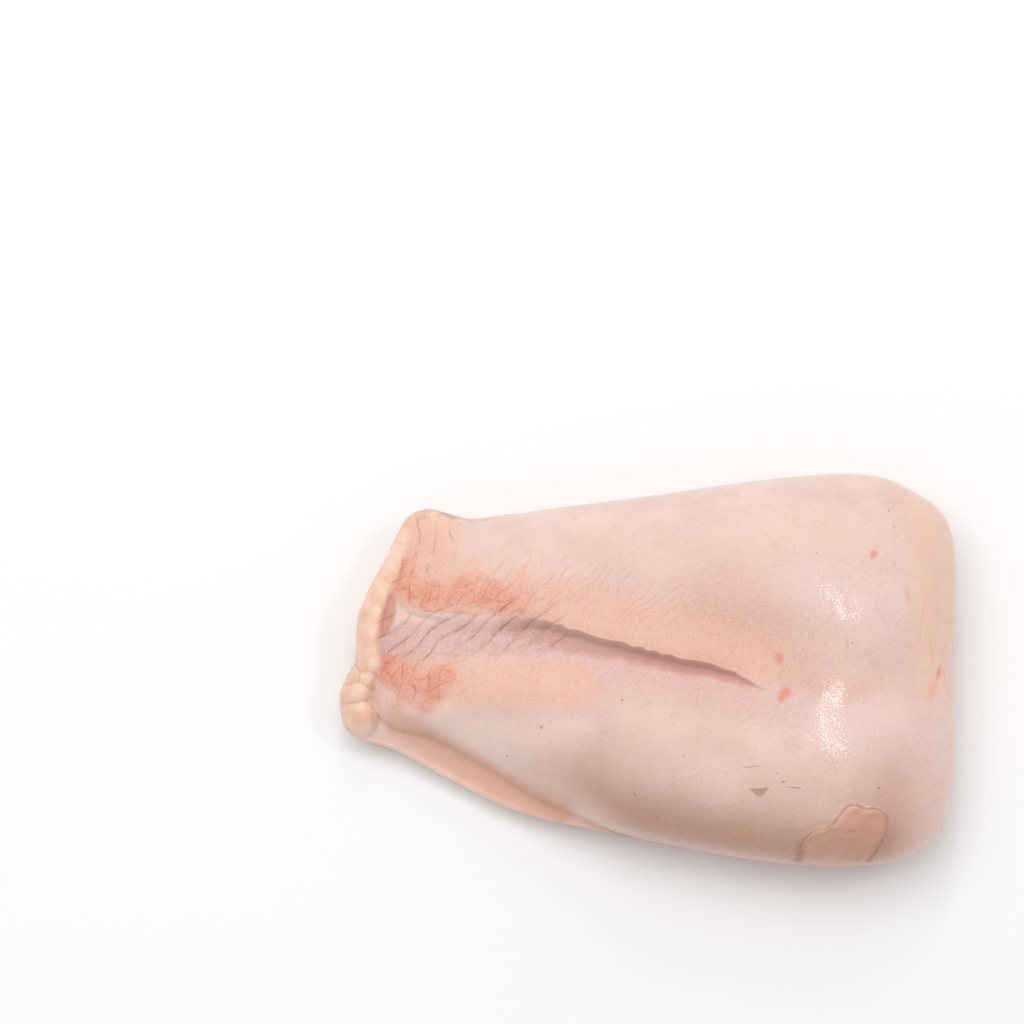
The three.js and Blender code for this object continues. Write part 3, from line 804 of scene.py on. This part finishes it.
def within(loop, points):
    """Which points lie inside an anticlockwise loop that goes once round the origin."""
    loop_angle = np.arctan2(loop[:, 1], loop[:, 0])
    order = np.argsort(loop_angle)
    before = np.searchsorted(loop_angle[order], np.arctan2(points[:, 1], points[:, 0])) - 1
    a, b = loop[order[before]], loop[order[(before + 1) % len(loop)]]
    side = (b[:, 0] - a[:, 0]) * (points[:, 1] - a[:, 1]) - (b[:, 1] - a[:, 1]) * (points[:, 0] - a[:, 0])
    return side > 0


def make_mesh(name, vertices, faces, attributes):
    mesh = bpy.data.meshes.new(name)
    mesh.from_pydata((vertices * MM).tolist(), [], faces)
    mesh.validate()
    mesh.shade_smooth()
    for key, values in attributes.items():
        layer = mesh.attributes.new(key, "FLOAT", "POINT")
        layer.data.foreach_set("value", np.asarray(values, np.float32))
    obj = bpy.data.objects.new(name, mesh)
    bpy.context.collection.objects.link(obj)
    return obj


def plain_material(name, colour, roughness):
    material = bpy.data.materials.new(name)
    material.use_nodes = True
    shader = material.node_tree.nodes["Principled BSDF"]
    shader.inputs["Base Color"].default_value = (*colour, 1)
    shader.inputs["Roughness"].default_value = roughness
    return material


def linear(name):
    """One of the colours in the renderer's own linear values."""
    return tuple(((value / 255 + 0.055) / 1.055) ** 2.4 for value in COLOURS[name])


class Shader:
    """A material's nodes, each added in one short call."""

    def __init__(self, name):
        self.material = bpy.data.materials.new(name)
        self.material.use_nodes = True
        self.tree = self.material.node_tree
        self.surface = self.tree.nodes["Principled BSDF"]
        place = self.tree.nodes.new("ShaderNodeTexCoord").outputs["Object"]
        self.place = self.vector("MULTIPLY", place, (1 / MM, 1 / MM, 1 / MM))

    def plug(self, socket, value):
        if isinstance(value, bpy.types.NodeSocket):
            self.tree.links.new(value, socket)
        else:
            socket.default_value = value

    def math(self, operation, a, b=0.0, clamp=False):
        node = self.tree.nodes.new("ShaderNodeMath")
        node.operation = operation
        node.use_clamp = clamp
        self.plug(node.inputs[0], a)
        self.plug(node.inputs[1], b)
        return node.outputs[0]

    def product(self, first, *others):
        result = first
        for other in others:
            result = self.math("MULTIPLY", result, other)
        return result

    def vector(self, operation, a, b):
        node = self.tree.nodes.new("ShaderNodeVectorMath")
        node.operation = operation
        self.plug(node.inputs[0], a)
        self.plug(node.inputs[1], b)
        return node.outputs["Value" if operation == "DISTANCE" else "Vector"]

    def mask(self, name):
        node = self.tree.nodes.new("ShaderNodeAttribute")
        node.attribute_name = name
        return node.outputs["Fac"]

    def noise(self, size, detail=2.0, roughness=0.5, stretch=1.0, turn=0.0):
        """Cloudy noise from 0 to 1, its features this many millimetres wide, stretched one way."""
        mapping = self.tree.nodes.new("ShaderNodeMapping")
        mapping.vector_type = "TEXTURE"
        mapping.inputs["Rotation"].default_value = (0, 0, math.radians(turn))
        mapping.inputs["Scale"].default_value = (stretch, 1, 1)
        self.plug(mapping.inputs["Vector"], self.place)
        node = self.tree.nodes.new("ShaderNodeTexNoise")
        node.inputs["Scale"].default_value = 1 / size
        node.inputs["Detail"].default_value = detail
        node.inputs["Roughness"].default_value = roughness
        self.plug(node.inputs["Vector"], mapping.outputs[0])
        return node.outputs["Fac"]

    def noise_vector(self, size):
        """A drift in every direction, each from -0.5 to 0.5, that changes over this many millimetres."""
        node = self.tree.nodes.new("ShaderNodeTexNoise")
        node.inputs["Scale"].default_value = 1 / size
        self.plug(node.inputs["Vector"], self.place)
        return self.vector("SUBTRACT", node.outputs["Color"], (0.5, 0.5, 0.5))

    def cells(self, size, feature="F1", place=None):
        node = self.tree.nodes.new("ShaderNodeTexVoronoi")
        node.feature = feature
        node.inputs["Scale"].default_value = 1 / size
        self.plug(node.inputs["Vector"], place or self.place)
        return node.outputs

    def ramp(self, value, low, high, to_low=0.0, to_high=1.0):
        """Maps low..high to to_low..to_high, smoothly and no further."""
        node = self.tree.nodes.new("ShaderNodeMapRange")
        node.interpolation_type = "SMOOTHSTEP"
        for socket, setting in zip(node.inputs[:5], (value, low, high, to_low, to_high)):
            self.plug(socket, setting)
        return node.outputs[0]

    def mix(self, amount, a, b):
        node = self.tree.nodes.new("ShaderNodeMix")
        node.data_type = "RGBA"
        self.plug(node.inputs["Factor"], amount)
        self.plug(node.inputs["A"], a if isinstance(a, bpy.types.NodeSocket) else (*a, 1))
        self.plug(node.inputs["B"], b if isinstance(b, bpy.types.NodeSocket) else (*b, 1))
        return node.outputs["Result"]

    def tint(self, colour, name, *amounts):
        """Moves a colour towards one of the named ones, by the product of the amounts."""
        return self.mix(self.product(*amounts), colour, linear(name))

    def bump(self, height, depth, under=None):
        """Surface relief from a height between 0 and 1 that stands for this many millimetres."""
        node = self.tree.nodes.new("ShaderNodeBump")
        node.inputs["Distance"].default_value = depth * MM
        self.plug(node.inputs["Height"], height)
        if under is not None:
            self.plug(node.inputs["Normal"], under)
        return node.outputs[0]

    def blot(self, x, y, half_length, half_width, turn=0.0):
        """1 in the middle of an oval in plan, fading to 0 at its edge, at any height."""
        mapping = self.tree.nodes.new("ShaderNodeMapping")
        mapping.vector_type = "TEXTURE"
        mapping.inputs["Location"].default_value = (x, y, 0)
        mapping.inputs["Rotation"].default_value = (0, 0, math.radians(turn))
        mapping.inputs["Scale"].default_value = (half_length, half_width, 10 * FAR)
        self.plug(mapping.inputs["Vector"], self.place)
        return self.ramp(self.vector("DISTANCE", mapping.outputs[0], (0, 0, 0)), 0.25, 1.0, 1.0, 0.0)

    def fold_lines(self, phase, spacing, width):
        """1 along each fold where the phase is a whole number, fading out over the width in millimetres."""
        shifted = self.math("FRACT", self.math("ADD", phase, 0.5))
        offset = self.math("ABSOLUTE", self.math("SUBTRACT", shifted, 0.5))
        return self.ramp(self.product(offset, spacing), 0.25 * width, width, 1.0, 0.0)


def raw_skin():
    """Moist pale skin: pink, lilac and orange patches, fat at the rolled edge, and bare meat underneath,
    with shade, sheen and light painted into its colour in places.
    """
    shader = Shader("raw_skin")
    colour = patch_colours(shader)
    colour = edge_colours(shader, colour)
    colour = shader.tint(colour, "crease", crease_lines(shader))
    colour = shader.tint(colour, "tract line", tract_lines(shader))
    colour = add_stipple(shader, colour)
    colour = add_flap(shader, colour)
    colour = add_marks(shader, colour)
    colour = shader.mix(bare_meat(shader), colour, meat_colour(shader))
    surface = shader.surface.inputs
    shader.plug(surface["Base Color"], colour)
    damp = shader.ramp(shader.noise(2.2, 2), 0.3, 0.7, 0.34, 0.5)
    wet = shader.product(shader.mask("wet"), 0.2)
    shader.plug(surface["Roughness"], shader.math("SUBTRACT", damp, wet))
    surface["Subsurface Weight"].default_value = 0.35
    surface["Subsurface Radius"].default_value = (1.0, 0.4, 0.25)
    surface["Subsurface Scale"].default_value = 0.003
    surface["Specular IOR Level"].default_value = 0.35
    surface["Coat Weight"].default_value = COAT_WEIGHT
    surface["Coat Roughness"].default_value = COAT_ROUGHNESS
    shader.plug(surface["Coat Normal"], moisture_relief(shader))
    shader.plug(surface["Normal"], skin_relief(shader))
    return shader.material


def patch_colours(shader):
    """The skin's broad patches, from the palest to the most orange."""
    mask = shader.mask
    mottle = shader.ramp(shader.noise(26, 3), 0.35, 0.65)
    patchy = shader.ramp(shader.noise(5, 3), 0.3, 0.7, 0.6, 1.0)
    colour = shader.mix(mottle, linear("pale skin"), linear("rosy skin"))
    colour = shader.tint(colour, "warm patch", shader.ramp(shader.noise(9, 3), 0.5, 0.75, 0, 0.25))
    colour = shader.tint(colour, "peach", mask("peach"), 0.95)
    # Partly the skin's own tone, partly painted sheen where the highlights fall.
    colour = shader.tint(colour, "lilac", mask("lilac"), 0.8)
    # Painted shade along the shallow furrow past the groove.
    colour = shader.tint(colour, "tan", mask("tan"), 0.7)
    colour = shader.tint(colour, "cream", mask("cream"), 0.8)
    colour = shader.tint(colour, "stretched", mask("stretched"))
    # Painted sheen on the left of the lower lobe.
    colour = shader.tint(colour, "painted sheen patch", mask("pale"), 0.85)
    colour = shader.tint(colour, "blush", mask("blush"), patchy)
    return shader.tint(colour, "tract", mask("tract"), patchy)


def edge_colours(shader, colour):
    """The shelf's painted shade, the pocket's painted shade and the fat at the narrow end, painted shade in
    the groove and low on the front, and painted light on the broad end.
    """
    mask = shader.mask
    colour = shader.tint(colour, "shade", mask("shade"))
    # Painted shade in the hollow behind the rolled edge.
    colour = shader.tint(colour, "pocket", mask("pocket"))
    fat = shader.mix(shader.ramp(shader.noise(6, 3), 0.35, 0.65), linear("light fat"), linear("fat"))
    colour = shader.mix(mask("fat"), colour, fat)
    colour = shader.tint(colour, "fat crease", mask("fat_crease"), 0.65)
    colour = shader.tint(colour, "hem", mask("hem"), 0.45)
    # Painted shade in the groove, its tone changing along the breast.
    groove = shader.mix(mask("groove_end"), linear("groove"), linear("groove end"))
    colour = shader.mix(shader.product(mask("groove"), 0.9), colour, groove)
    # Painted shade with a painted warm reflection low on the front.
    colour = shader.tint(colour, "front", mask("front"))
    # Painted light on the broad end's side.
    return shader.tint(colour, "end", mask("end"), 0.7)


def add_stipple(shader, colour):
    """Fine darker and lighter specks, stronger where the skin is peach, and thin wandering creases."""
    warm = shader.math("MAXIMUM", shader.mask("blush"), shader.mask("peach"))
    strength = shader.ramp(warm, 0, 1, 0.55, 1.1)
    dark = shader.ramp(shader.noise(0.8, 3, 0.65), 0.35, 0.7, 0, 0.24)
    light = shader.ramp(shader.noise(0.6, 2, 0.6), 0.52, 0.72, 0, 0.3)
    colour = shader.tint(colour, "dark stipple", dark, strength)
    colour = shader.tint(colour, "light stipple", light, strength)
    drawn = shader.math("MAXIMUM", shader.mask("stretched"), shader.mask("tract"))
    hatch = shader.ramp(shader.noise(0.6, 2, 0.6, 4, 38), 0.42, 0.62)
    colour = shader.tint(colour, "hatch", hatch, drawn, 0.4)
    return shader.tint(colour, "wandering crease", wandering_creases(shader), 0.08)


def wandering_creases(shader):
    """Thin irregular lines that mostly run up to the right."""
    offset = shader.math("ABSOLUTE", shader.math("SUBTRACT", shader.noise(3, 3, 0.55, 2.4, 42), 0.5))
    here_and_there = shader.ramp(shader.noise(9, 2), 0.42, 0.6)
    return shader.product(shader.ramp(offset, 0.004, 0.02, 1.0, 0.0), here_and_there)


def crack_cells(shader):
    """Distance to the nearest crack of the crackled skin, as a share of a cushion's size."""
    drift = shader.vector("MULTIPLY", shader.noise_vector(2.5), (1.6, 1.6, 1.6))
    place = shader.vector("ADD", shader.place, drift)
    return shader.cells(CRACK_SPACING, "DISTANCE_TO_EDGE", place)["Distance"]


def crease_lines(shader):
    """Thin rosy lines at the folds and in the crackled skin."""
    mask = shader.mask
    broken = shader.ramp(shader.noise(5, 3), 0.42, 0.62, 0.0, 1.0)
    folds = shader.fold_lines(mask("fold_phase"), STRETCHED_FOLDS[0], 0.45)
    lobe = shader.fold_lines(mask("lobe_fold_phase"), LOBE_FOLDS[0], 0.3)
    cracks = shader.ramp(crack_cells(shader), 0.0, 0.1, 1.0, 0.0)
    upright = shader.fold_lines(mask("upright_phase"), UPRIGHT_FOLDS[0], 0.5)
    lines = shader.product(folds, mask("folds"), broken, 0.65)
    lines = shader.math("ADD", lines, shader.product(lobe, mask("lobe_folds"), broken, 0.26))
    lines = shader.math("ADD", lines, shader.product(cracks, mask("cracks"), broken, 0.2))
    return shader.math("ADD", lines, shader.product(upright, mask("upright"), broken, 0.4), clamp=True)


def tract_lines(shader):
    """Thin brownish lines between the cushions of the orange skin."""
    lengthwise = shader.fold_lines(shader.mask("tract_phase"), TRACT_FOLDS[0], 0.34)
    crosswise = shader.fold_lines(shader.mask("tract_cross_phase"), TRACT_CROSS_FOLDS[0], 0.34)
    broken = shader.ramp(shader.noise(4, 2), 0.35, 0.6, 0.08, 0.7)
    return shader.product(shader.math("MAXIMUM", lengthwise, crosswise), shader.mask("tract"), broken)


def add_flap(shader, colour):
    """The flap of skin low on the front, tanner, which ends where the skin turns under."""
    above_edge = shader.ramp(shader.mask("under"), 0.0, 0.45, 1.0, 0.0)
    inside = shader.ramp(shader.mask("flap"), -0.5, 2.0, 0, 0.65)
    colour = shader.tint(colour, "flap", inside, above_edge)
    return shader.tint(colour, "flap edge", flap_edge(shader), above_edge)


def flap_edge(shader):
    """The thin line of shadow round the flap and along its inner fold, broken here and there."""
    line = shader.ramp(shader.math("ABSOLUTE", shader.mask("flap")), 0.1, 0.5, 1.0, 0.0)
    fold = shader.ramp(shader.mask("flap_fold"), 0.1, 0.5, 1.0, 0.0)
    broken = shader.ramp(shader.noise(4, 2), 0.35, 0.65, 0.2, 0.65)
    return shader.product(shader.math("MAXIMUM", line, fold), broken)


def add_marks(shader, colour):
    """Spots, specks, nicks and the one scab."""
    specks = [(x, y, radius, radius) for x, y, radius in DARK_SPECKS]
    marks = [
        (RED_SPOTS, "red spot", 0.6),
        (FAINT_SPOTS, "faint spot", 0.25),
        (specks, "speck", 0.6),
        (TENSION_LINES, "tension line", 0.2),
        (NICKS, "nick", 0.6),
    ]
    for blots, name, strength in marks:
        for blot in blots:
            colour = shader.tint(colour, name, shader.blot(*blot), strength)
    return shader.tint(colour, "scab", shader.ramp(shader.mask("scab"), -0.25, 0.35, 0, 0.75))


def bare_meat(shader):
    """Where the skin ends underneath, along an uneven line."""
    edge = shader.ramp(shader.noise(8, 2), 0.3, 0.7, -0.12, 0.12)
    return shader.ramp(shader.math("ADD", shader.mask("under"), edge), 0.5, 0.62)


def meat_colour(shader):
    return shader.mix(shader.noise(1.8, 3, 0.5, 4), linear("light meat"), linear("dark meat"))


def pores(shader):
    """0 in each pore, rising to 1 between them."""
    return shader.ramp(shader.cells(PORE_SPACING)["Distance"], 0.1, 0.6)


def moisture_relief(shader):
    """The moisture follows the pores, which breaks its highlights up into small glints."""
    relief = shader.bump(pores(shader), MOISTURE_PORE_DEPTH)
    return shader.bump(shader.noise(0.8, 2, 0.65), MOISTURE_RIPPLE, relief)


def skin_relief(shader):
    """Pores, fine wrinkles, and the cracks and folds where they are."""
    mask = shader.mask
    relief = shader.bump(pores(shader), PORE_DEPTH)
    relief = shader.bump(shader.noise(0.7, 3, 0.6), 0.085, relief)
    relief = shader.bump(shader.product(shader.noise(0.7, 2, 0.6, 4, 38), mask("stretched")), 0.12, relief)
    relief = shader.bump(shader.product(shader.noise(0.9, 2, 0.6), mask("wet")), 0.16, relief)
    relief = shader.bump(shader.noise(1.7, 3, 0.6, 2.2, 40), 0.12, relief)
    relief = shader.bump(shader.math("SUBTRACT", 1.0, wandering_creases(shader)), 0.05, relief)
    cracks = shader.ramp(crack_cells(shader), 0.0, 0.25)
    relief = shader.bump(shader.product(cracks, mask("cracks")), 0.07, relief)
    folds = shader.fold_lines(mask("fold_phase"), STRETCHED_FOLDS[0], 0.6)
    folds = shader.product(folds, mask("folds"))
    lobe = shader.fold_lines(mask("lobe_fold_phase"), LOBE_FOLDS[0], 0.5)
    lobe = shader.product(lobe, mask("lobe_folds"), 0.4)
    return shader.bump(shader.math("SUBTRACT", 1.0, shader.math("MAXIMUM", folds, lobe)), 0.16, relief)


def add_camera():
    """Almost straight above, where the breast fills the same part of the frame as in the photograph."""
    camera_distance = 1.2
    elevation = math.radians(80)
    frame_width = 0.3512
    aim = Vector((-0.0463, 0.0545, 0.020))
    data = bpy.data.cameras.new("camera")
    data.sensor_width = 36
    data.lens = 36 * camera_distance / frame_width
    camera = bpy.data.objects.new("camera", data)
    back = Vector((0, -math.cos(elevation), math.sin(elevation)))
    camera.location = aim + back * camera_distance
    camera.rotation_mode = "QUATERNION"
    camera.rotation_quaternion = back.to_track_quat("Z", "Y")
    bpy.context.collection.objects.link(camera)
    bpy.context.scene.camera = camera


def add_light(name, place, aim, size, power, glossy):
    data = bpy.data.lights.new(name, "AREA")
    data.shape = "RECTANGLE"
    data.size, data.size_y = size
    data.energy = power
    lamp = bpy.data.objects.new(name, data)
    lamp.location = place
    lamp.visible_glossy = glossy
    lamp.rotation_mode = "QUATERNION"
    lamp.rotation_quaternion = (Vector(place) - Vector(aim)).to_track_quat("Z", "Y")
    bpy.context.collection.objects.link(lamp)


def add_stage():
    bpy.ops.mesh.primitive_plane_add(size=FLOOR_SIZE, location=(0, 0, 0))
    floor = bpy.context.object
    floor.name = "floor"
    floor.data.materials.append(plain_material("floor", FLOOR_COLOUR, FLOOR_ROUGHNESS))
    world = bpy.data.worlds.new("studio")
    world.use_nodes = True
    background = world.node_tree.nodes["Background"]
    background.inputs["Color"].default_value = (1, 1, 1, 1)
    background.inputs["Strength"].default_value = SURROUNDING_LIGHT
    bpy.context.scene.world = world
    for light in LIGHTS:
        add_light(*light)
    bpy.context.scene.view_settings.view_transform = "Standard"


vertices, faces, masks = build_breast()
breast = make_mesh("breast", vertices, faces, masks)
breast.data.materials.append(raw_skin())
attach(breast, "root")
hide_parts("chicken_breast")

add_camera()
add_stage()
